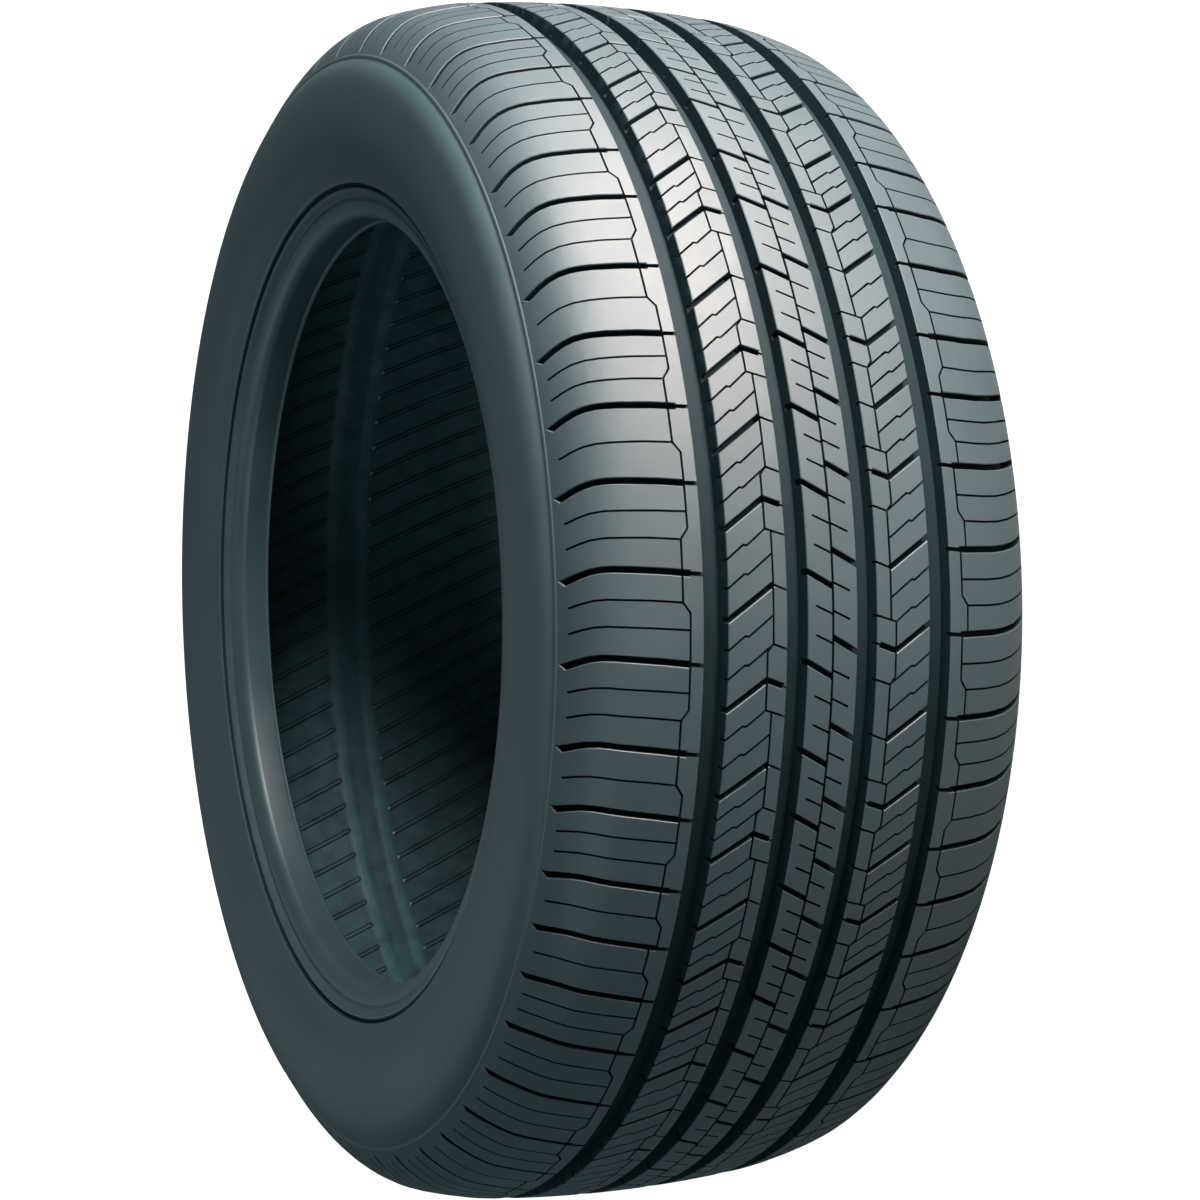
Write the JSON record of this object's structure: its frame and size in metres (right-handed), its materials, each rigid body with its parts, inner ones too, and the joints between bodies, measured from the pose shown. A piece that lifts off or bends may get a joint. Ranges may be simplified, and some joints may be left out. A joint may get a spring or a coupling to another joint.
{
  "type": "car tyre",
  "caption": "Road tyre for a passenger car with ribbed tread, wide grooves, chevron slots and fine sipes, and an open inside that is seated on a wheel rim and filled with air",
  "frame": {"origin": "centre of the tyre, on its axis and on the middle plane of the tread", "axes": "+Z along the axis towards the sidewall seen in the picture, +X radial towards the viewer's side, +Y radial up the tread in the picture"},
  "size_m": [0.687, 0.687, 0.277],
  "materials": {
    "tyre_rubber": "moulded"
  },
  "bodies": {
    "root": {"tyre": "tyre_rubber"}
  },
  "joints": []
}
